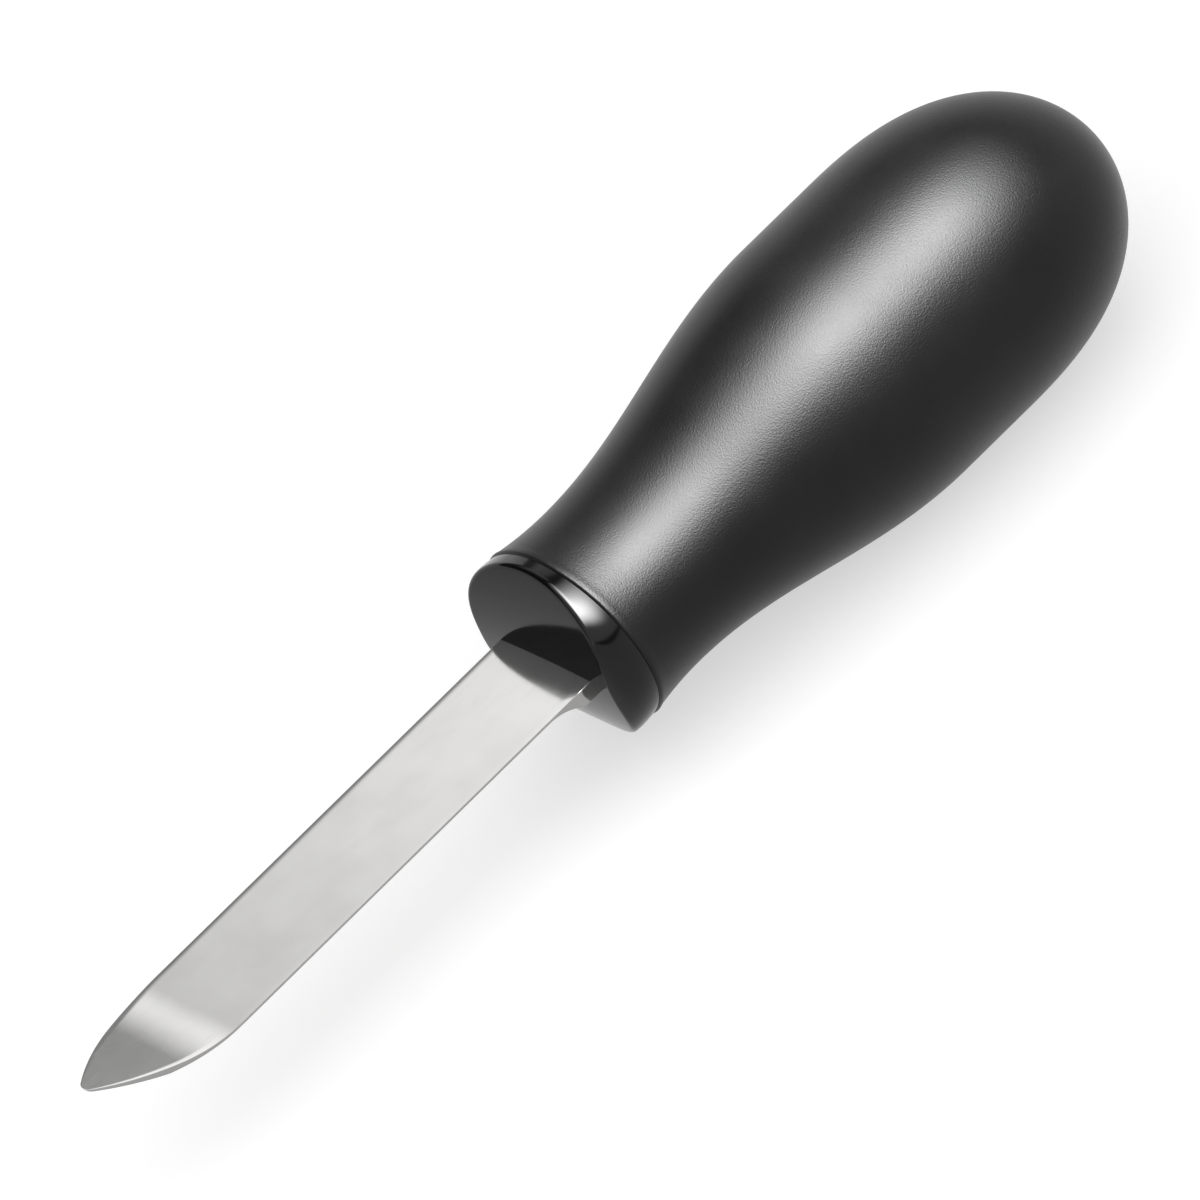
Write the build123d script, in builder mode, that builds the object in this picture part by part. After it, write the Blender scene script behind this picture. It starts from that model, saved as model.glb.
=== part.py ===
from build123d import *
from math import cos, degrees, pi, radians, sin, sqrt
import os

# Oyster knife: a short stiff blade with an upturned point, its tang moulded into a hard core
# whose saddle-faced collar shows in front of a thick, soft, oval grip.
# Millimetres. The knife points along -X, the flat of the blade is level, and +Z is up.
# The origin is under the middle of the knife, level with the lowest line of the grip's belly.

os.makedirs("parts", exist_ok=True)

# Lengths along the knife
handle_length = 85.6  # from the seam between collar and grip to the rounded end
collar_reach = 4.4  # from the seam forward to the middle of the collar's face
blade_length = 75.0  # from the middle of the collar's face to the tip

# Blade
blade_width = 15.2
stock_thickness = 2.2
ground_thickness = 1.5  # at the flat along the middle of the underside
edge_thickness = 0.3
tip_thickness = 0.3
flat_width = 6.0
root_length = 2.2  # unground steel in front of the collar
plunge_radius = 7.0  # left by the grinding wheel where the ground faces run out
point_length = 17.7
nose_radius = 1.5
bend_to_tip = 12.8  # from the bend of the top face to the tip
taper_to_tip = 14.0  # from the bend of the underside to the tip
tip_rise = 2.6
bend_radius = 37.0
blade_lift = 0.2  # top face above the axis of the handle

# Tang, inside the core
shoulder_depth = 5.0  # full-width steel behind the middle of the collar's face
tang_width = 11.0
tang_cover = 16.0  # the core's plastic behind the end of the tang
tang_corner_radius = 3.0
tang_hole_radius = 2.4
tang_hole_start = 16.0  # from the seam to the first hole
tang_hole_end = 14.0  # from the last hole to the end of the tang
tang_hole_count = 2

# Outside of the handle
neck_place = 8.0  # narrowest section, behind the seam
neck_width = 25.4
neck_height = 22.4
bulb_width = 36.0
bulb_height = 34.2
bulb_length = 10.5  # stretch of full size between the swell and the rounded end
cap_length = 28.1
cap_power = 2.5
end_flat_radius = 1.0
flare_radius = 46.0  # opens the section in front of the neck
grip_lip_radius = 0.4

# Collar
seam_step = 0.2  # the soft grip stands proud of the collar
crown_radius = 29.0  # curve of the face from top to bottom
hollow_radius = 230.0  # hollow of the face from side to side
ear_radius = 4.8
ear_reach = 0.5  # where the ears' rounding would end, in front of the face
rim_radius = 0.7

# Core's stem, inside the grip
grip_wall = 3.5
stem_overlap = 1.0  # the stem's root inside the collar
end_wall = 9.6  # the grip's thickness behind the core
core_end_radius = 6.0
groove_width = 4.0
groove_depth = 1.5
groove_start = 24.0  # from the seam to the middle of the first groove
groove_end = 8.0  # from the middle of the last groove to the core's end
groove_count = 3
tie_hole_radius = 2.0

overrun = 1.0  # how far a cut passes the face that it goes through

# Places of the loft's sections, as shares of the stretch that they divide
swell_shares = (0, 0.1, 0.22, 0.34, 0.46, 0.58, 0.7, 0.82, 0.92, 1)
cap_shares = (0, 0.22, 0.42, 0.6, 0.75, 0.86, 0.93, 0.975, 1)
collar_shares = (1, 0.97, 0.9, 0.8, 0.65, 0.45, 0.2, 0)

# Derived sizes and places; a place along the knife is counted from the seam
overall_length = handle_length + collar_reach + blade_length
seam_x = overall_length / 2 - handle_length
half_bulb = bulb_height / 2
axis_z = half_bulb
half_blade = blade_width / 2
tip_x = -collar_reach - blade_length
root_end_x = -collar_reach - root_length
shoulder_x = shoulder_depth - collar_reach
point_start_x = tip_x + point_length
past_tip_x = tip_x - overrun
block_reach = collar_reach + ear_reach
cap_place = handle_length - cap_length
bulb_place = cap_place - bulb_length
core_length = handle_length - end_wall
tang_length = core_length - tang_cover
tang_hole_pitch = (tang_length - tang_hole_end - tang_hole_start) / (tang_hole_count - 1)
groove_pitch = (core_length - groove_end - groove_start) / (groove_count - 1)


def above(lift=0):
    """Plane seen from above the knife, x along it and y across it, lifted from the axis."""
    return Plane(origin=(seam_x, 0, axis_z + lift))


def side(lift=0):
    """Plane seen from the side of the knife, x along it and y upward."""
    return Plane(origin=(seam_x, 0, axis_z + lift), x_dir=(1, 0, 0), z_dir=(0, -1, 0))


def across(x):
    """Plane across the knife at x behind the seam, x to the side and y upward."""
    return Plane(origin=(seam_x + x, 0, axis_z), x_dir=(0, 1, 0), z_dir=(1, 0, 0))


def turned_side(angle):
    """Side plane turned about the upright line that the collar's face is hollowed round."""
    turn = radians(angle)
    centre = (seam_x - collar_reach - hollow_radius, 0, axis_z)
    return Plane(origin=centre, x_dir=(cos(turn), sin(turn), 0), z_dir=(sin(turn), -cos(turn), 0))


def stretch(start, end, shares):
    """Places along a stretch, one for each share of it."""
    return [start + (end - start) * share for share in shares]


def swell(x):
    """How far the handle has swollen at x, from 0 at the neck to 1 at the bulb."""
    climb = min(1, max(0, (x - neck_place) / (bulb_place - neck_place)))
    return (1 - cos(pi * climb)) / 2


def oval(x, inset=0):
    """Half width and half height of the handle's section at x, less an inset."""
    flare = max(0, neck_place - x) ** 2 / (2 * flare_radius)
    cap = max(0, (x - cap_place) / cap_length)
    rounding = sqrt(1 - cap**cap_power)
    half_width = (neck_width + (bulb_width - neck_width) * swell(x)) / 2 + flare
    half_height = (neck_height + (bulb_height - neck_height) * swell(x)) / 2 + flare
    return half_width * rounding - inset, half_height * rounding - inset


def collar_section(x):
    """Half width and half height of the collar, drawn in at the front to round its ears."""
    half_width, half_height = oval(x, seam_step)
    turn = min(ear_radius, max(0, ear_radius - x - block_reach))
    return half_width - ear_radius + sqrt(ear_radius**2 - turn**2), half_height


def grip_stations():
    """Sections from the seam over the neck and the bulb to the flat on the rounded end."""
    flat_share = (1 - (2 * end_flat_radius / bulb_width) ** 2) ** (1 / cap_power)
    end = cap_place + cap_length * flat_share
    swelling = stretch(neck_place, bulb_place, swell_shares)
    return [0, neck_place / 2] + swelling + stretch(cap_place, end, cap_shares)


def stem_stations():
    """Sections from inside the collar to the flat end of the core."""
    inside = [x for x in grip_stations() if x < core_length - overrun]
    return [-stem_overlap] + inside + [core_length]


def plunge_start(depth):
    """Where a face ground to this depth below the stock meets the wheel's curve."""
    run = sqrt(plunge_radius**2 - (plunge_radius - depth) ** 2)
    return root_end_x - run


# Blade: a plan outline crossed with a side profile, then two bevels ground off underneath
point_radius = (point_length - nose_radius) ** 2 + half_blade**2 - nose_radius**2
point_radius /= 2 * (half_blade - nose_radius)
nose_centre = Vector(tip_x + nose_radius, 0)
point_centre = Vector(point_start_x, half_blade - point_radius)
nose_reach = point_radius / (point_radius - nose_radius)
nose_join = point_centre + (nose_centre - point_centre) * nose_reach

bend = (tip_x + bend_to_tip, 0)
past_tip = (past_tip_x, tip_rise + overrun * tip_rise / bend_to_tip)
taper = (tip_x + taper_to_tip, -ground_thickness)
taper_rise = tip_rise - tip_thickness + ground_thickness
past_tip_low = (past_tip_x, tip_rise - tip_thickness + overrun * taper_rise / taper_to_tip)
flat_start = (plunge_start(stock_thickness - ground_thickness), -ground_thickness)
root_end = (root_end_x, -stock_thickness)

bevel_slope = (ground_thickness - edge_thickness) / (half_blade - flat_width / 2)
bevel_meet = edge_thickness + half_blade * bevel_slope  # depth where both bevels would meet
bevel_start = plunge_start(stock_thickness - edge_thickness)
wheel_low = (bevel_start + plunge_radius, -plunge_radius)

with BuildPart() as blade:
    with BuildSketch(above(blade_lift)) as plan:
        with BuildLine():
            Polyline(
                (tang_length, 0),
                (tang_length, tang_width / 2),
                (shoulder_x, tang_width / 2),
                (shoulder_x, half_blade),
                (point_start_x, half_blade),
            )
            TangentArc((point_start_x, half_blade), nose_join, tangent=(-1, 0))
            RadiusArc(nose_join, (tip_x, 0), nose_radius)
            mirror(about=Plane.XZ)
        make_face()
        fillet(plan.vertices().group_by(Axis.X)[-1], tang_corner_radius)
    extrude(amount=blade_width, both=True)

    with BuildSketch(side(blade_lift)):
        with BuildLine():
            top = FilletPolyline((tang_length, 0), bend, past_tip, radius=bend_radius)
            Line(top @ 1, past_tip_low)
            under = FilletPolyline(past_tip_low, taper, flat_start, radius=bend_radius)
            plunge = TangentArc(under @ 1, root_end, tangent=(1, 0))
            Polyline(plunge @ 1, (tang_length, -stock_thickness), top @ 0)
        make_face()
    extrude(amount=blade_width, both=True, mode=Mode.INTERSECT)

    # Each bevel follows the bent line of the blade and is cut along its own slope
    for slope in (bevel_slope, -bevel_slope):
        with BuildSketch(side(blade_lift - bevel_meet)):
            with BuildLine():
                wheel = RadiusArc(wheel_low, (bevel_start, 0), -plunge_radius)
                bevel = FilletPolyline(wheel @ 1, bend, past_tip, radius=bend_radius)
                Polyline(bevel @ 1, (past_tip_x, -plunge_radius), wheel_low)
            make_face()
        extrude(amount=blade_width, dir=(0, 1, slope), both=True, mode=Mode.SUBTRACT)

    # Holes in the tang, which the core's plastic fills
    for i in range(tang_hole_count):
        with Locations(above(blade_lift) * Location((tang_hole_start + i * tang_hole_pitch, 0))):
            Hole(tang_hole_radius)

blade.part.label = "blade"
export_step(blade.part, "parts/blade.step")


# Hard core: a collar in front of the seam, and a stem inside the grip
with BuildPart() as handle_core:
    for x in stretch(0, -block_reach, collar_shares):
        with BuildSketch(across(x)):
            Ellipse(*collar_section(x))
    loft()

    # Saddle face: a crown from top to bottom, turned about an upright line in front of it
    swing = degrees(bulb_width / hollow_radius)
    crown_sag = crown_radius - sqrt(crown_radius**2 - half_bulb**2)
    with BuildSketch(turned_side(-swing / 2)):
        with BuildLine():
            front = hollow_radius - block_reach
            crown_top = (hollow_radius + crown_sag, half_bulb)
            crown_low = (hollow_radius + crown_sag, -half_bulb)
            ThreePointArc(crown_top, (hollow_radius, 0), crown_low)
            Polyline(crown_low, (front, -half_bulb), (front, half_bulb), crown_top)
        make_face()
    upright = Axis((seam_x - collar_reach - hollow_radius, 0, 0), (0, 0, 1))
    revolve(axis=upright, revolution_arc=swing, mode=Mode.SUBTRACT)
    fillet(handle_core.faces().sort_by(Axis.X)[0].edges(), rim_radius)

    # Stem, an even wall inside the outside of the grip
    for x in stem_stations():
        with BuildSketch(across(x)):
            Ellipse(*oval(x, grip_wall))
    loft()
    fillet(handle_core.faces().sort_by(Axis.X)[-1].edges(), core_end_radius)

    # Rings round the stem that the grip keys into
    for i in range(groove_count):
        x = groove_start + i * groove_pitch
        with BuildSketch(across(x - groove_width / 2)):
            Ellipse(*oval(x, grip_wall - overrun))
            Ellipse(*oval(x, grip_wall + groove_depth), mode=Mode.SUBTRACT)
        extrude(amount=groove_width, mode=Mode.SUBTRACT)

    # Holes beside the tang, halfway between grooves, where the grip ties through the stem
    for i in range(groove_count - 1):
        x = groove_start + (i + 1 / 2) * groove_pitch
        tie_hole_y = (tang_width / 2 + oval(x, grip_wall)[0]) / 2
        for y in (-tie_hole_y, tie_hole_y):
            with Locations(above() * Location((x, y))):
                Hole(tie_hole_radius)

    # The plastic is moulded round the tang and fills its holes
    add(blade.part, mode=Mode.SUBTRACT)

handle_core.part.label = "handle_core"
export_step(handle_core.part, "parts/handle_core.step")


# Soft grip, moulded over the stem up to the seam
with BuildPart() as grip:
    for x in grip_stations():
        with BuildSketch(across(x)):
            Ellipse(*oval(x))
    loft()
    fillet(grip.edges().group_by(Axis.X)[0], grip_lip_radius)
    add(handle_core.part, mode=Mode.SUBTRACT)
    add(blade.part, mode=Mode.SUBTRACT)

grip.part.label = "grip"
export_step(grip.part, "parts/grip.step")
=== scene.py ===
import math

import bpy
import numpy as np
from mathutils import Matrix, Vector


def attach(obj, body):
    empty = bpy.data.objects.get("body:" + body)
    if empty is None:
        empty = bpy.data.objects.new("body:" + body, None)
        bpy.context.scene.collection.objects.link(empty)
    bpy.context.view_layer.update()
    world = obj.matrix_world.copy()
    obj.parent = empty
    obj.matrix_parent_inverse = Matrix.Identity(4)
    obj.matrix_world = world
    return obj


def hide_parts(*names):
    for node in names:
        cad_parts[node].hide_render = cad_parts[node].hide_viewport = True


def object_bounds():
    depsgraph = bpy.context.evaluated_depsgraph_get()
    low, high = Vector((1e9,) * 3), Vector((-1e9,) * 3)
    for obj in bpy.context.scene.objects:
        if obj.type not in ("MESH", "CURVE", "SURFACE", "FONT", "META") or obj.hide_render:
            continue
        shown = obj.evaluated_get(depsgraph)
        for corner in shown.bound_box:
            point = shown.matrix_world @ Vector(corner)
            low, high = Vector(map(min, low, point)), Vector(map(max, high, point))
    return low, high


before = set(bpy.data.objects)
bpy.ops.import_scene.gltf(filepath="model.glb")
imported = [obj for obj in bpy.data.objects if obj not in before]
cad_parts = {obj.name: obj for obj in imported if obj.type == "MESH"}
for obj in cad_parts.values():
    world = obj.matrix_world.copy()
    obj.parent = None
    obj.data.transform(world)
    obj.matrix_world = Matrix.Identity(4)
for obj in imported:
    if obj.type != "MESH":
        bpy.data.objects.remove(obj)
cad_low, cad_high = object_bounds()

MM = 0.001

# Sizes of the knife in millimetres, as its solids have them; places along it are counted
# from the seam between collar and grip, positive towards the rounded end
SEAM_X = -3.1
AXIS_Z = 17.1
HANDLE_LENGTH = 85.6
COLLAR_REACH = 4.4
BLADE_LENGTH = 75.0

BLADE_WIDTH = 15.2
STOCK_THICKNESS = 2.2
GROUND_THICKNESS = 1.5
EDGE_THICKNESS = 0.3
TIP_THICKNESS = 0.3
FLAT_WIDTH = 6.0
ROOT_LENGTH = 2.2
PLUNGE_RADIUS = 7.0
POINT_LENGTH = 17.7
NOSE_RADIUS = 1.5
BEND_TO_TIP = 12.8
TAPER_TO_TIP = 14.0
TIP_RISE = 2.6
BEND_RADIUS = 37.0
BLADE_LIFT = 0.2
SHOULDER_DEPTH = 5.0
SHOULDER_SLOPE = 0.2
TANG_WIDTH = 11.0
TANG_LENGTH = 60.0
TANG_CORNER_RADIUS = 3.0
TANG_HOLE_RADIUS = 2.4
TANG_HOLES = (16.0, 46.0)

NECK_PLACE = 8.0
NECK_WIDTH = 25.4
NECK_HEIGHT = 22.4
BULB_PLACE = 47.0
BULB_WIDTH = 36.0
BULB_HEIGHT = 34.2
CAP_LENGTH = 28.1
CAP_POWER = 2.5
END_FLAT_RADIUS = 1.0
FLARE_RADIUS = 46.0
GRIP_LIP_RADIUS = 0.4

SEAM_STEP = 0.2
CROWN_RADIUS = 29.0
HOLLOW_RADIUS = 230.0
EAR_RADIUS = 4.8
EAR_REACH = 0.5
RIM_RADIUS = 0.7
GRIP_WALL = 3.5
CORE_LENGTH = 76.0
CORE_END_RADIUS = 6.0

# Worn corners of the blade, and the most that they and the flat may take of a section
TOP_ROUND = 0.09
LOW_ROUND = 0.05
ROUND_SHARE = 0.3
LOW_ROUND_SHARE = 0.25
FLAT_SHARE = 0.9

# How finely the meshes are divided
AROUND = 256  # points round the handle
STEM_RINGS = 48
STEM_END_RINGS = 9
LIP_RINGS = 7
GRIP_RINGS = 90
CAP_RINGS = 64
COLLAR_SIDE_RINGS = 15
RIM_RINGS = 13
FACE_RINGS = 40
SIDE_TRACE = 500  # points on side and face from which the rim's centre is found
FACE_TRACE = 600
FLAT_POINTS = 5
BEVEL_POINTS = 9
TOP_POINTS = 9
LOW_CORNER = (-60, -30, 0)  # degrees
TOP_CORNER = (0, 22.5, 45, 67.5, 90)
NOSE_TURNS = (0.12, 1.2)  # radians round the blade's nose
NOSE_STATIONS = 10
POINT_STATIONS = 60
STRAIGHT_STATIONS = 30
PLUNGE_STATIONS = 40
ROOT_STATIONS = 5
TANG_STATIONS = 8
TANG_CORNER_STATIONS = 8
DRILL_SIDES = 64
SHARP_ANGLE = 35  # degrees between two faces that keep a sharp edge

TURNS = [2 * math.pi * j / AROUND for j in range(AROUND)]


def new_object(name, rows, faces):
    """An object in the scene with a mesh from points in metres."""
    mesh = bpy.data.meshes.new(name)
    mesh.from_pydata(rows, [], faces)
    thing = bpy.data.objects.new(name, mesh)
    bpy.context.scene.collection.objects.link(thing)
    return thing


def mesh_object(name, points, faces):
    """A mesh object from points in millimetres counted from the seam and the handle's axis."""
    rows = [((SEAM_X + x) * MM, y * MM, (AXIS_Z + z) * MM) for x, y, z in points]
    thing = new_object(name, rows, faces)
    thing.data.validate()
    thing.data.update()
    return thing


def rings_to_faces(ring_count, size, first_pole=None, last_pole=None):
    """Quads between rings of equal size, and fans to a pole at either end."""
    faces = []
    for i in range(ring_count - 1):
        for j in range(size):
            k = (j + 1) % size
            faces.append((i * size + j, i * size + k, (i + 1) * size + k, (i + 1) * size + j))
    last = (ring_count - 1) * size
    for j in range(size):
        k = (j + 1) % size
        if first_pole is not None:
            faces.append((first_pole, k, j))
        if last_pole is not None:
            faces.append((last_pole, last + j, last + k))
    return faces


def closed_object(name, rings, last_x, turn_over):
    """A closed mesh from rings round the axis, with a point on the axis closing either end.
    Where the outside runs towards the blade, its faces look inward and are turned over."""
    points = [p for r in rings for p in r]
    first, last = len(points), len(points) + 1
    points += [(rings[0][0][0], 0, 0), (last_x, 0, 0)]
    faces = rings_to_faces(len(rings), AROUND, first, last)
    if turn_over:
        faces = [tuple(reversed(f)) for f in faces]
    return mesh_object(name, points, faces)


def smooth(thing):
    """Smooth shading, with edges kept sharp where the faces meet at more than SHARP_ANGLE."""
    bpy.context.view_layer.objects.active = thing
    for other in bpy.context.selected_objects:
        other.select_set(False)
    thing.select_set(True)
    angle = math.radians(SHARP_ANGLE)
    bpy.ops.object.shade_smooth_by_angle(angle=angle, keep_sharp_edges=True)


def subtract(thing, cutter):
    """Cuts one mesh out of another and keeps the result as the first one's mesh."""
    cut = thing.modifiers.new("cut", "BOOLEAN")
    cut.operation = "DIFFERENCE"
    cut.solver = "EXACT"
    cut.object = cutter
    depsgraph = bpy.context.evaluated_depsgraph_get()
    result = bpy.data.meshes.new_from_object(thing.evaluated_get(depsgraph))
    thing.modifiers.remove(cut)
    old = thing.data
    thing.data = result
    bpy.data.meshes.remove(old)


# Grip, and the stem inside it

def oval(x, inset=0.0):
    """Half width and half height of the handle's section at x, less an inset."""
    flare = max(0.0, NECK_PLACE - x) ** 2 / (2 * FLARE_RADIUS)
    climb = min(1.0, max(0.0, (x - NECK_PLACE) / (BULB_PLACE - NECK_PLACE)))
    swell = (1 - math.cos(math.pi * climb)) / 2
    cap = max(0.0, (x - (HANDLE_LENGTH - CAP_LENGTH)) / CAP_LENGTH)
    rounding = math.sqrt(max(0.0, 1 - cap**CAP_POWER))
    half_width = (NECK_WIDTH + (BULB_WIDTH - NECK_WIDTH) * swell) / 2 + flare
    half_height = (NECK_HEIGHT + (BULB_HEIGHT - NECK_HEIGHT) * swell) / 2 + flare
    return half_width * rounding - inset, half_height * rounding - inset


def ring(x, half_width, half_height):
    """Points round an oval section at x."""
    return [(x, half_width * math.cos(t), half_height * math.sin(t)) for t in TURNS]


def stem_rings():
    """Rings along the stem that the grip is moulded over, from the seam to its rounded end."""
    straight = np.linspace(0, CORE_LENGTH - CORE_END_RADIUS, STEM_RINGS)
    rings = [ring(x, *oval(x, GRIP_WALL)) for x in straight]
    for turn in np.linspace(0, math.pi / 2, STEM_END_RINGS)[1:]:
        x = CORE_LENGTH - CORE_END_RADIUS * (1 - math.sin(turn))
        inset = GRIP_WALL + CORE_END_RADIUS * (1 - math.cos(turn))
        rings.append(ring(x, *oval(x, inset)))
    return rings


def make_grip():
    """The soft grip: its inside over the stem, its lip at the seam, then its outside."""
    cap_place = HANDLE_LENGTH - CAP_LENGTH
    rings = list(reversed(stem_rings()))
    # each of the lip's ovals is taken at its inset and not at its place, which puts it up to
    # 0.07 mm from the solid's lip
    for turn in np.linspace(0, math.pi / 2, LIP_RINGS):
        inset = GRIP_LIP_RADIUS * (1 - math.sin(turn))
        place = GRIP_LIP_RADIUS - GRIP_LIP_RADIUS * math.cos(turn)
        rings.append(ring(place, *oval(inset, inset)))
    for x in np.linspace(GRIP_LIP_RADIUS, cap_place, GRIP_RINGS)[1:]:
        rings.append(ring(x, *oval(x)))
    last_turn = math.acos(2 * END_FLAT_RADIUS / BULB_WIDTH)
    for turn in np.linspace(0, last_turn, CAP_RINGS)[1:]:
        x = cap_place + CAP_LENGTH * math.sin(turn) ** (2 / CAP_POWER)
        rings.append(ring(x, BULB_WIDTH / 2 * math.cos(turn), BULB_HEIGHT / 2 * math.cos(turn)))
    return closed_object("grip_skin", rings, rings[-1][0][0], turn_over=False)


# Collar, and the stem behind it

def collar_half(x):
    """Half width and half height of the collar at x, with the ears rounded into its sides."""
    half_width, half_height = oval(x, SEAM_STEP)
    turn = min(EAR_RADIUS, max(0.0, EAR_RADIUS - x - COLLAR_REACH - EAR_REACH))
    return half_width - EAR_RADIUS + math.sqrt(EAR_RADIUS**2 - turn**2), half_height


def oval_reach(half_width, half_height, cos, sin):
    """Distance from the axis to an oval in the direction (cos, sin)."""
    return half_width * half_height / math.hypot(half_height * cos, half_width * sin)


def side_reach(x, cos, sin):
    """Distance from the axis to the collar's side in the direction (cos, sin)."""
    return oval_reach(*collar_half(x), cos, sin)


def face_place(reach, cos, sin):
    """Place of the saddle face along the knife, at a distance from the axis."""
    swing = HOLLOW_RADIUS + CROWN_RADIUS - math.sqrt(CROWN_RADIUS**2 - (reach * sin) ** 2)
    return math.sqrt(swing * swing - (reach * cos) ** 2) - HOLLOW_RADIUS - COLLAR_REACH


def normals_towards(curve, goal):
    """Normals of a curve, turned to the side on which the goal lies."""
    step = np.gradient(curve, axis=0)
    normal = np.stack([-step[:, 1], step[:, 0]], 1)
    normal /= np.linalg.norm(normal, axis=1)[:, None]
    flip = np.sign((normal * (goal - curve)).sum(1))[:, None]
    return normal * flip


def collar_profile(cos, sin):
    """Places and distances from the axis along the collar in one direction, from the seam
    over the rim to its middle. The rim's centre lies RIM_RADIUS inside both side and face."""
    ear_margin = 0.01  # stops short of the ears' end, where the side turns square
    least_reach, past_side = 0.2, 1
    on_axis, in_handle = np.array([2.0, 0.0]), np.array([6.0, 6.0])

    xs = np.linspace(0, -COLLAR_REACH - EAR_REACH + ear_margin, SIDE_TRACE)
    side = np.array([(x, side_reach(x, cos, sin)) for x in xs])
    reaches = np.linspace(least_reach, side[:, 1].max() + past_side, FACE_TRACE)
    face = np.array([(face_place(r, cos, sin), r) for r in reaches])
    side_in = normals_towards(side, on_axis)
    face_in = normals_towards(face, in_handle)
    side_off = side + RIM_RADIUS * side_in
    face_off = face + RIM_RADIUS * face_in

    # The curves RIM_RADIUS inside side and face cross at the rim's centre, which lies between
    # two points of either curve
    gap = side_off[:, 0] - np.interp(side_off[:, 1], face_off[:, 1], face_off[:, 0])
    past = int(np.argmax(gap < 0))
    way = gap[past - 1] / (gap[past - 1] - gap[past])
    centre = side_off[past - 1] * (1 - way) + side_off[past] * way
    start = -(side_in[past - 1] * (1 - way) + side_in[past] * way)
    spot = np.interp(centre[1], face_off[:, 1], np.arange(len(face_off)))
    before = int(spot)
    end = -(face_in[before] * (1 - spot + before) + face_in[before + 1] * (spot - before))
    rim_x = side[past - 1, 0] * (1 - way) + side[past, 0] * way
    first_turn = math.atan2(start[1], start[0])
    last_turn = math.atan2(end[1], end[0])
    if last_turn < first_turn:
        last_turn += 2 * math.pi

    profile = []
    for share in np.linspace(0, 1, COLLAR_SIDE_RINGS)[:-1]:
        x = rim_x * share
        profile.append((x, side_reach(x, cos, sin)))
    for turn in np.linspace(first_turn, last_turn, RIM_RINGS):
        x = centre[0] + RIM_RADIUS * math.cos(turn)
        profile.append((x, centre[1] + RIM_RADIUS * math.sin(turn)))
    reach = profile[-1][1]
    for share in np.linspace(1, 0, FACE_RINGS)[1:-1]:
        profile.append((face_place(reach * share, cos, sin), reach * share))
    return profile


def make_core():
    """The hard inner moulding: the stem inside the grip and the collar in front of it."""
    profiles = [collar_profile(math.cos(t), math.sin(t)) for t in TURNS]
    front = []
    for row in zip(*profiles):
        front.append([(x, r * math.cos(t), r * math.sin(t)) for (x, r), t in zip(row, TURNS)])
    stem = []
    for row in reversed(stem_rings()):
        x = row[0][0]
        half_width = max(abs(p[1]) for p in row)
        half_height = max(abs(p[2]) for p in row)
        reaches = [oval_reach(half_width, half_height, math.cos(t), math.sin(t)) for t in TURNS]
        stem.append([(x, r * math.cos(t), r * math.sin(t)) for r, t in zip(reaches, TURNS)])
    return closed_object("collar_and_stem", stem + front, -COLLAR_REACH, turn_over=True)


# Blade

HALF_BLADE = BLADE_WIDTH / 2
TIP_X = -COLLAR_REACH - BLADE_LENGTH
ROOT_END = -COLLAR_REACH - ROOT_LENGTH
SHOULDER_X = SHOULDER_DEPTH - COLLAR_REACH
BEVEL_SLOPE = (GROUND_THICKNESS - EDGE_THICKNESS) / (HALF_BLADE - FLAT_WIDTH / 2)
BEVEL_MEET = EDGE_THICKNESS + HALF_BLADE * BEVEL_SLOPE
DRILL_HEIGHTS = (-4.0, 2.0)


def plunge_start(depth):
    """Place where a surface ground to a depth ends and the wheel's curve to the root begins."""
    return ROOT_END - math.sqrt(PLUNGE_RADIUS**2 - (PLUNGE_RADIUS - depth) ** 2)


def bent(x, corner_x, corner_z, slope):
    """Height of a level line that turns up towards the tip at a rounded corner."""
    half_turn = math.atan(slope) / 2
    reach = BEND_RADIUS * math.tan(half_turn)
    start = corner_x + reach
    end = corner_x - reach * math.cos(2 * half_turn)
    if x >= start:
        return corner_z
    if x <= end:
        return corner_z + (corner_x - x) * slope
    return corner_z + BEND_RADIUS - math.sqrt(BEND_RADIUS**2 - (start - x) ** 2)


def top_line(x):
    """Height of the blade's flat top."""
    return bent(x, TIP_X + BEND_TO_TIP, 0.0, TIP_RISE / BEND_TO_TIP)


def under_line(x):
    """Height of the flat along the middle of the underside."""
    slope = (TIP_RISE - TIP_THICKNESS + GROUND_THICKNESS) / TAPER_TO_TIP
    flat_start = plunge_start(STOCK_THICKNESS - GROUND_THICKNESS)
    if x >= ROOT_END:
        return -STOCK_THICKNESS
    if x > flat_start:
        height = math.sqrt(PLUNGE_RADIUS**2 - (x - flat_start) ** 2)
        return -GROUND_THICKNESS - PLUNGE_RADIUS + height
    return bent(x, TIP_X + TAPER_TO_TIP, -GROUND_THICKNESS, slope)


def bevel_line(x):
    """Height that the bevel's surface would have over the middle of the blade."""
    start = plunge_start(STOCK_THICKNESS - EDGE_THICKNESS)
    if x <= start:
        return top_line(x) - BEVEL_MEET
    run = min(x - start, PLUNGE_RADIUS)
    return -BEVEL_MEET - PLUNGE_RADIUS + math.sqrt(PLUNGE_RADIUS**2 - run**2)


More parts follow.
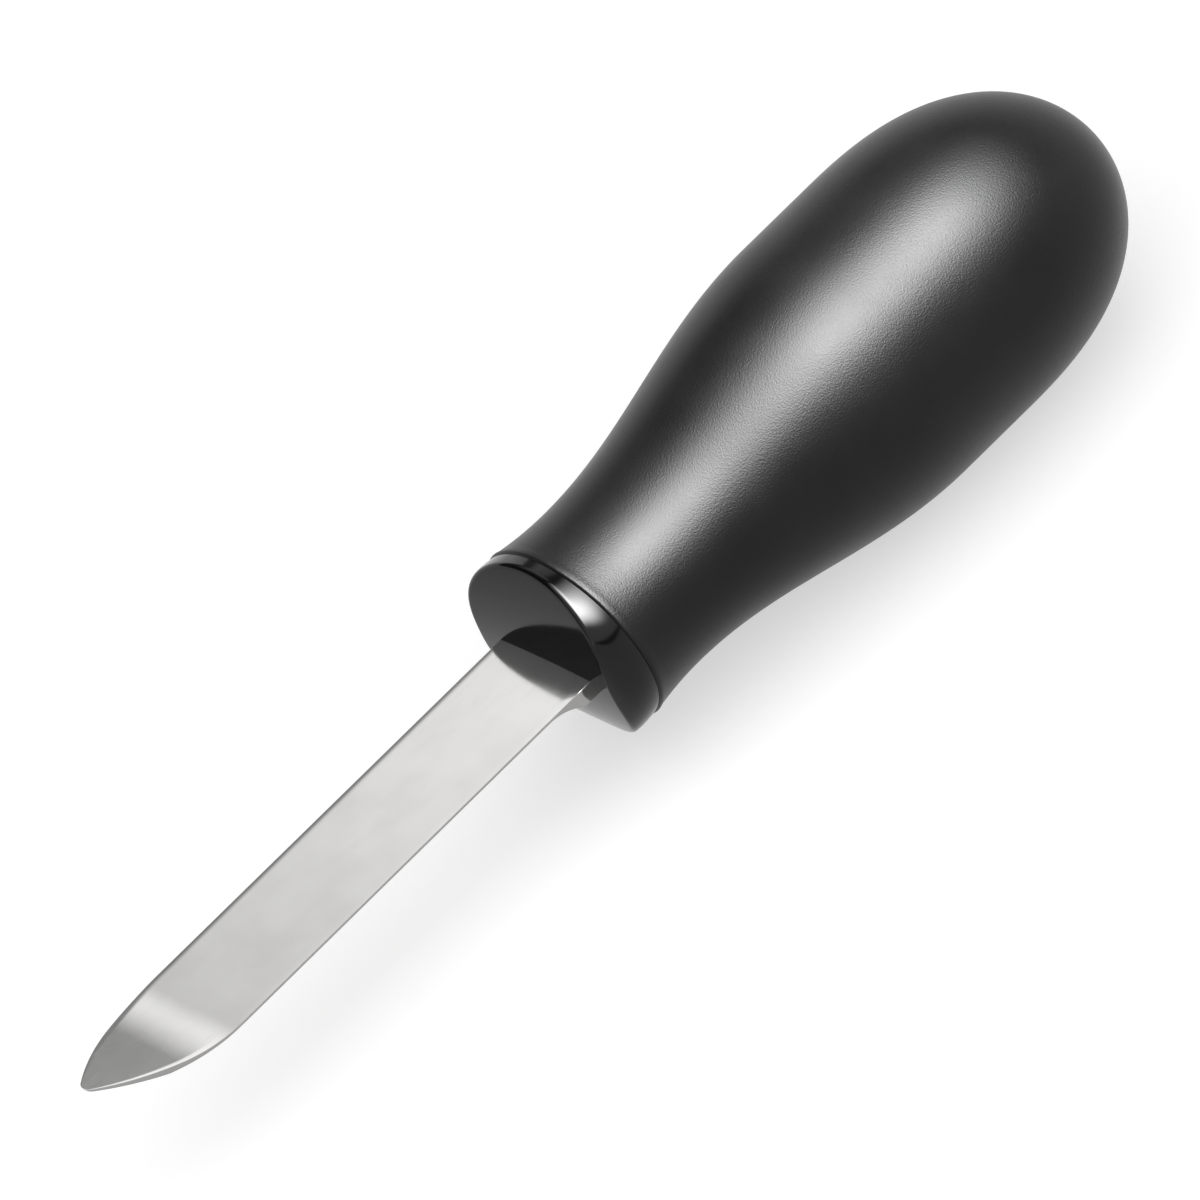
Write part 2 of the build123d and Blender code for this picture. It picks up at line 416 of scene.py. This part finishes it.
def outline(x):
    """Half width of the blade, or of the tang behind its shoulder, seen from above."""
    if x > SHOULDER_X:
        left = TANG_LENGTH - x
        if left >= TANG_CORNER_RADIUS:
            return TANG_WIDTH / 2
        past = TANG_CORNER_RADIUS - left
        drop = TANG_CORNER_RADIUS - math.sqrt(max(0.0, TANG_CORNER_RADIUS**2 - past**2))
        return TANG_WIDTH / 2 - drop
    from_tip = x - TIP_X
    if from_tip >= POINT_LENGTH:
        return HALF_BLADE
    run, rise = POINT_LENGTH - NOSE_RADIUS, HALF_BLADE - NOSE_RADIUS
    radius = (run**2 + HALF_BLADE**2 - NOSE_RADIUS**2) / (2 * rise)
    share = radius / (radius - NOSE_RADIUS)
    join = POINT_LENGTH + (NOSE_RADIUS - POINT_LENGTH) * share
    if from_tip > join:
        return HALF_BLADE - radius + math.sqrt(radius**2 - (POINT_LENGTH - from_tip) ** 2)
    return math.sqrt(max(0.0, NOSE_RADIUS**2 - (NOSE_RADIUS - from_tip) ** 2))


def blade_section(x):
    """Points round the blade's section at x, from the middle of the underside."""
    reach = outline(x)
    top = top_line(x)
    under = under_line(x)
    bevel = bevel_line(x)
    low = max(under, bevel + BEVEL_SLOPE * reach)
    thick = top - low
    top_round = min(TOP_ROUND, ROUND_SHARE * thick, ROUND_SHARE * reach)
    low_round = min(LOW_ROUND, LOW_ROUND_SHARE * thick, ROUND_SHARE * reach)
    flat_reach = min(FLAT_SHARE * (reach - low_round), max(0.0, (under - bevel) / BEVEL_SLOPE))
    half = []
    for share in np.linspace(0, 1, FLAT_POINTS):
        half.append((flat_reach * share, under))
    for share in np.linspace(0, 1, BEVEL_POINTS)[1:]:
        y = flat_reach + (reach - low_round - flat_reach) * share
        half.append((y, max(under, bevel + BEVEL_SLOPE * y)))
    for turn in np.radians(LOW_CORNER):
        y = reach - low_round + low_round * math.cos(turn)
        half.append((y, low + low_round + low_round * math.sin(turn)))
    for turn in np.radians(TOP_CORNER):
        y = reach - top_round + top_round * math.cos(turn)
        half.append((y, top - top_round + top_round * math.sin(turn)))
    for share in np.linspace(1, 0, TOP_POINTS)[1:]:
        half.append(((reach - top_round) * share, top))
    other = [(-y, z) for y, z in reversed(half[1:-1])]
    return [(x, y, BLADE_LIFT + z) for y, z in half + other]


def beyond(start, end, count):
    """Evenly spaced places up to the end, without the start."""
    return list(np.linspace(start, end, count)[1:])


def blade_stations():
    """Places of the sections from the tip to the tang's end."""
    nose_turns = np.linspace(*NOSE_TURNS, NOSE_STATIONS)
    nose = [TIP_X + NOSE_RADIUS * (1 - math.cos(t)) for t in nose_turns]
    point = beyond(nose[-1], TIP_X + POINT_LENGTH, POINT_STATIONS)
    straight = beyond(TIP_X + POINT_LENGTH, ROOT_END - PLUNGE_RADIUS, STRAIGHT_STATIONS)
    plunge = beyond(ROOT_END - PLUNGE_RADIUS, ROOT_END, PLUNGE_STATIONS)
    root = beyond(ROOT_END, SHOULDER_X, ROOT_STATIONS)
    tang_end = TANG_LENGTH - TANG_CORNER_RADIUS
    tang = list(np.linspace(SHOULDER_X + SHOULDER_SLOPE, tang_end, TANG_STATIONS))
    turns = beyond(0, math.pi / 2, TANG_CORNER_STATIONS)
    corner = [TANG_LENGTH - TANG_CORNER_RADIUS * (1 - math.sin(t)) for t in turns]
    return nose + point + straight + plunge + root + tang + corner


def drill_hole(thing, place):
    """Cuts a round hole from top to bottom through the tang. The drill is turned by half
    a side, because a corner on an edge of the tang's mesh would leave the cut open."""
    turns = np.linspace(0, 2 * math.pi, DRILL_SIDES + 1)[:-1] + math.pi / DRILL_SIDES
    points = [
        (place + TANG_HOLE_RADIUS * math.cos(t), TANG_HOLE_RADIUS * math.sin(t), z)
        for z in DRILL_HEIGHTS
        for t in turns
    ]
    ends = [tuple(reversed(range(DRILL_SIDES))), tuple(range(DRILL_SIDES, 2 * DRILL_SIDES))]
    drill = mesh_object("drill", points, rings_to_faces(2, DRILL_SIDES) + ends)
    subtract(thing, drill)
    bpy.data.objects.remove(drill)


def make_blade():
    """The blade with its shoulder and tang, and the holes through the tang."""
    sections = [blade_section(x) for x in blade_stations()]
    size = len(sections[0])
    points = [p for s in sections for p in s]
    faces = rings_to_faces(len(sections), size)
    faces.append(tuple(reversed(range(size))))
    last = (len(sections) - 1) * size
    faces.append(tuple(range(last, last + size)))
    blade = mesh_object("steel_blade", points, faces)
    for place in TANG_HOLES:
        drill_hole(blade, place)
    return blade


# Materials

class Nodes:
    """A short way to add linked nodes to a node tree."""

    def __init__(self, tree):
        self.tree = tree

    def feed(self, socket, value):
        """Links another node's output to a socket, or gives the socket a plain value."""
        if isinstance(value, bpy.types.NodeSocket):
            self.tree.links.new(value, socket)
        else:
            socket.default_value = value

    def add(self, kind, inputs=None, **settings):
        """A new node with its settings made and its inputs fed."""
        node = self.tree.nodes.new(kind)
        for key, value in settings.items():
            setattr(node, key, value)
        for key, value in (inputs or {}).items():
            self.feed(node.inputs[key], value)
        return node

    def work_out(self, operation, *values):
        """The result of a maths node on outputs or numbers."""
        return self.add("ShaderNodeMath", dict(enumerate(values)), operation=operation).outputs[0]

    def place(self, scale=(1, 1, 1)):
        """Object coordinates in metres, stretched by a scale for each axis."""
        inputs = {"Vector": self.add("ShaderNodeTexCoord").outputs["Object"], "Scale": scale}
        return self.add("ShaderNodeMapping", inputs).outputs[0]

    def noise(self, vector, scale, detail=2.0, roughness=0.5):
        inputs = {"Vector": vector, "Scale": scale, "Detail": detail, "Roughness": roughness}
        return self.add("ShaderNodeTexNoise", inputs).outputs["Fac"]

    def span(self, value, low, high, to_low=0, to_high=1, **settings):
        """Carries the range from low to high over to another one, and clamps to it."""
        inputs = {"Value": value, "From Min": low, "From Max": high}
        inputs.update({"To Min": to_low, "To Max": to_high})
        return self.add("ShaderNodeMapRange", inputs, **settings).outputs[0]

    def blend(self, share, first, second):
        """A mix of two colours; the mix node keeps its colour sockets in places 6, 7 and 2."""
        inputs = {0: share, 6: first, 7: second}
        return self.add("ShaderNodeMix", inputs, data_type="RGBA").outputs[2]

    def bump(self, height, distance):
        inputs = {"Height": height, "Distance": distance, "Strength": 1.0}
        return self.add("ShaderNodeBump", inputs).outputs[0]


class Surface(Nodes):
    """A new material with its Principled shader."""

    def __init__(self, name):
        self.material = bpy.data.materials.new(name)
        self.material.use_nodes = True
        super().__init__(self.material.node_tree)
        self.shader = self.tree.nodes["Principled BSDF"]

    def set(self, name, value):
        self.feed(self.shader.inputs[name], value)


def steel_material():
    """Satin steel: lengthwise grinding lines, scuffs and slight clouds, with painted shade that
    darkens the faces turned sideways.
    """
    line_scale, scuff_scale = (40, 3400, 3400), (300, 900, 900)
    darker, lighter = (0.70, 0.693, 0.687, 1), (0.75, 0.744, 0.738, 1)
    # Painted shade: a darker steel colour for the faces that turn sideways, the side walls fully
    # and the ground bevels in part
    painted_side_shade = (0.32, 0.317, 0.313, 1)
    scuff_roughness = 0.05
    line_depth = 1.2e-6

    look = Surface("satin_steel")
    look.set("Metallic", 0.85)
    lines = look.noise(look.place(line_scale), 1.0, 3.0, 0.6)
    scuffs = look.noise(look.place(scuff_scale), 1.0, 3.0, 0.6)
    clouds = look.noise(look.place(), 140.0, 3.0)
    worn = look.span(scuffs, 0.62, 0.75)
    bands = look.span(lines, 0.3, 0.7, 0.08, 0.12)
    look.set("Roughness", look.work_out("MULTIPLY_ADD", worn, scuff_roughness, bands))
    colour = look.blend(look.span(clouds, 0.35, 0.65), darker, lighter)
    normal = look.add("ShaderNodeTexCoord").outputs["Normal"]
    sideways = look.add("ShaderNodeSeparateXYZ", {0: normal}).outputs["Y"]
    # The sideways part of the normal says where the painted shade goes, so the darkening follows
    # which way a face turns
    side = look.span(look.work_out("ABSOLUTE", sideways), 0.1, 0.5)
    look.set("Base Color", look.blend(side, colour, painted_side_shade))
    look.set("Normal", look.bump(lines, line_depth))
    return look.material


def plastic_material():
    """Glossy black plastic with faint ripples and uneven gloss."""
    ripple_depth = 4e-6

    look = Surface("gloss_black_plastic")
    look.set("Base Color", (0.003, 0.003, 0.0032, 1))
    look.set("Specular IOR Level", 0.24)
    clouds = look.noise(look.place(), 260.0, 3.0)
    look.set("Roughness", look.span(clouds, 0.3, 0.7, 0.09, 0.15))
    ripple = look.noise(look.place(), 420.0)
    look.set("Normal", look.bump(ripple, ripple_depth))
    return look.material


def grip_material():
    """Matt black elastomer with a fine moulded grain."""
    darker, lighter = (0.0025, 0.0025, 0.0026, 1), (0.0045, 0.0045, 0.0047, 1)
    grain_depth = 3e-5

    look = Surface("soft_black_grip")
    look.set("Specular IOR Level", 0.19)
    clouds = look.noise(look.place(), 90.0, 4.0)
    look.set("Base Color", look.blend(look.span(clouds, 0.3, 0.7), darker, lighter))
    look.set("Roughness", look.span(clouds, 0.3, 0.7, 0.32, 0.38))
    grain = look.noise(look.place(), 5000.0)
    look.set("Normal", look.bump(grain, grain_depth))
    return look.material


# Put together

grip = make_grip()
core = make_core()
blade = make_blade()
subtract(core, blade)
for thing, node, slot, material in (
    (grip, "grip", "soft_grip", grip_material()),
    (core, "handle_core", "hard_plastic", plastic_material()),
    (blade, "blade", "steel", steel_material()),
):
    smooth(thing)
    thing.data.materials.clear()
    thing.data.materials.append(material)
    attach(thing, "root")
    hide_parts(node)


# Floor and backdrop

STAGE_RADIUS = 3.0
STAGE_SIDES = 96
BACKDROP_HEIGHT = 1.1
STAGE_COLOUR = (0.6, 0.6, 0.6, 1)
FLOOR_LIFT = 0.56
BACKDROP_LIFT = 0.95
WORLD_STRENGTH = 0.06


def stage_material(name, lift):
    """A pale matt surface, clear from behind. Camera, glossy and transmission rays see it
    brighter by the lift, and what it throws on the knife as diffuse light stays the same."""
    look = Surface(name)
    look.set("Base Color", STAGE_COLOUR)
    look.set("Roughness", 0.9)
    look.set("Specular IOR Level", 0.0)
    rays = look.add("ShaderNodeLightPath").outputs
    seen = look.work_out("MAXIMUM", rays["Is Camera Ray"], rays["Is Glossy Ray"])
    seen = look.work_out("MAXIMUM", seen, rays["Is Transmission Ray"])
    glow = look.work_out("MULTIPLY", seen, lift)
    light = look.add("ShaderNodeEmission", {"Strength": glow}).outputs[0]
    both = look.add("ShaderNodeAddShader", {0: look.shader.outputs[0], 1: light}).outputs[0]
    behind = look.add("ShaderNodeNewGeometry").outputs["Backfacing"]
    clear = look.add("ShaderNodeBsdfTransparent").outputs[0]
    choose = look.add("ShaderNodeMixShader", {0: behind, 1: both, 2: clear}).outputs[0]
    look.feed(look.tree.nodes["Material Output"].inputs["Surface"], choose)
    return look.material


def stage_object(name, points, faces, material):
    """An object of the stage, which is no piece of the knife."""
    thing = new_object(name, points, faces)
    thing.data.materials.append(material)


level = cad_low[2]
turns = np.linspace(0, 2 * math.pi, STAGE_SIDES + 1)[:-1]
rim = [(STAGE_RADIUS * math.cos(t), STAGE_RADIUS * math.sin(t)) for t in turns]
low_rim = [(x, y, level) for x, y in rim]
high_rim = [(x, y, level + BACKDROP_HEIGHT) for x, y in rim]
sides = [(i, (i + 1) % STAGE_SIDES) for i in range(STAGE_SIDES)]
walls = [(i, k + STAGE_SIDES, k) for i, k in sides]
walls += [(i, i + STAGE_SIDES, k + STAGE_SIDES) for i, k in sides]
pale = stage_material("pale_floor", FLOOR_LIFT)
white = stage_material("white_backdrop", BACKDROP_LIFT)
stage_object("floor", low_rim, [tuple(range(STAGE_SIDES))], pale)
stage_object("backdrop", low_rim + high_rim, walls, white)

world = bpy.data.worlds.new("studio")
bpy.context.scene.world = world
world.use_nodes = True
background = world.node_tree.nodes["Background"].inputs
background["Color"].default_value = (1, 1, 1, 1)
background["Strength"].default_value = WORLD_STRENGTH


# Light

HANDLE_MIDDLE = (0.044, 0, 0.017)
BLADE_MIDDLE = (-0.040, 0, 0.017)


def softbox(name, direction, target, distance, width, height, radiance):
    """A rectangular lamp of a given brightness that faces its target. Its width runs along X
    as far as its tilt allows."""
    data = bpy.data.lights.new(name, "AREA")
    data.shape = "RECTANGLE"
    data.size = width
    data.size_y = height
    data.energy = radiance * width * height * math.pi
    lamp = bpy.data.objects.new(name, data)
    bpy.context.scene.collection.objects.link(lamp)
    back = Vector(direction).normalized()
    across = back.cross(Vector((1, 0, 0))).normalized()
    turned = Matrix((across.cross(back), across, back)).transposed().to_4x4()
    lamp.matrix_world = Matrix.Translation(Vector(target) + back * distance) @ turned
    lamp.visible_camera = False
    return lamp


def shade_lamp(lamp, ramps):
    """Dims parts of a lamp. Each ramp names an axis, X over its width or Y over its height,
    both from 0 to 1, and rises from its low value at one place to full strength at another."""
    lamp.data.use_nodes = True
    nodes = Nodes(lamp.data.node_tree)
    surface = nodes.add("ShaderNodeNewGeometry").outputs["Parametric"]
    split = nodes.add("ShaderNodeSeparateXYZ", {0: surface}).outputs
    total = None
    for axis, start, end, low in ramps:
        ramp = nodes.span(split[axis], start, end, low, 1.0, interpolation_type="SMOOTHSTEP")
        total = ramp if total is None else nodes.work_out("MULTIPLY", total, ramp)
    nodes.feed(nodes.tree.nodes["Emission"].inputs["Strength"], total)


# Lights the knife and the floor from above and in front
softbox("key", (-0.12, -0.36, 0.925), HANDLE_MIDDLE,
        distance=1.4, width=4.0, height=2.6, radiance=1.32)

# Makes the long highlight on the grip and the streak on the collar. It is linked to these two
# pieces alone, so that it doesn't burn out the blade, and it throws no diffuse light.
strip = softbox("gloss_strip", (0.175, -0.235, 0.955), HANDLE_MIDDLE,
                distance=0.60, width=0.80, height=0.80, radiance=62.0)
strip.visible_diffuse = False
handle_only = bpy.data.collections.new("handle_only")
handle_only.objects.link(grip)
handle_only.objects.link(core)
strip.light_linking.receiver_collection = handle_only
shade_lamp(strip, (
    ("X", 0.0, 0.5, 0.0),
    ("X", 1.0, 0.6, 0.0),
    ("Y", 0.0, 0.44, 0.0),
    ("Y", 1.0, 0.44, 0.0),
))

# Stands behind the knife, where the blade mirrors it towards the camera
card = softbox("back_card", (0.35, 0.684, 0.64), BLADE_MIDDLE,
               distance=0.9, width=0.6, height=0.6, radiance=1.16)
shade_lamp(card, (("X", 0.38, 0.60, 0.5), ("Y", 0.74, 0.53, 0.1)))


# Camera, fitted to the photograph

VIEW = Vector((-0.350, -0.684, 0.640)).normalized()  # from the knife to the camera
RIGHT = Vector((0.6695, -0.6605, -0.3400)).normalized()
UP = VIEW.cross(RIGHT).normalized()
SEAM_CENTRE = Vector((SEAM_X, 0, AXIS_Z)) * MM
PHOTO_SIZE = 1200  # pixels along its sides
PHOTO_MIDDLE = PHOTO_SIZE / 2
SEAM_PIXEL = (570.3, 637.1)  # where the photograph shows SEAM_CENTRE, counted from its top left
PIXEL = 0.13363 / PHOTO_SIZE  # metres at the knife for one pixel of the photograph
DISTANCE = 4.0  # far enough for the weak perspective that the photograph shows
SENSOR = 36

camera_data = bpy.data.cameras.new("camera")
camera_data.sensor_width = SENSOR
camera_data.lens = SENSOR * DISTANCE / (PIXEL * PHOTO_SIZE)
camera_data.clip_start = 0.05
camera_data.clip_end = 20
camera = bpy.data.objects.new("camera", camera_data)
bpy.context.scene.collection.objects.link(camera)
centre = SEAM_CENTRE + RIGHT * (PHOTO_MIDDLE - SEAM_PIXEL[0]) * PIXEL
centre += UP * (SEAM_PIXEL[1] - PHOTO_MIDDLE) * PIXEL
turned = Matrix((RIGHT, UP, VIEW)).transposed().to_4x4()
camera.matrix_world = Matrix.Translation(centre + VIEW * DISTANCE) @ turned
bpy.context.scene.camera = camera
bpy.context.scene.view_settings.view_transform = "Standard"
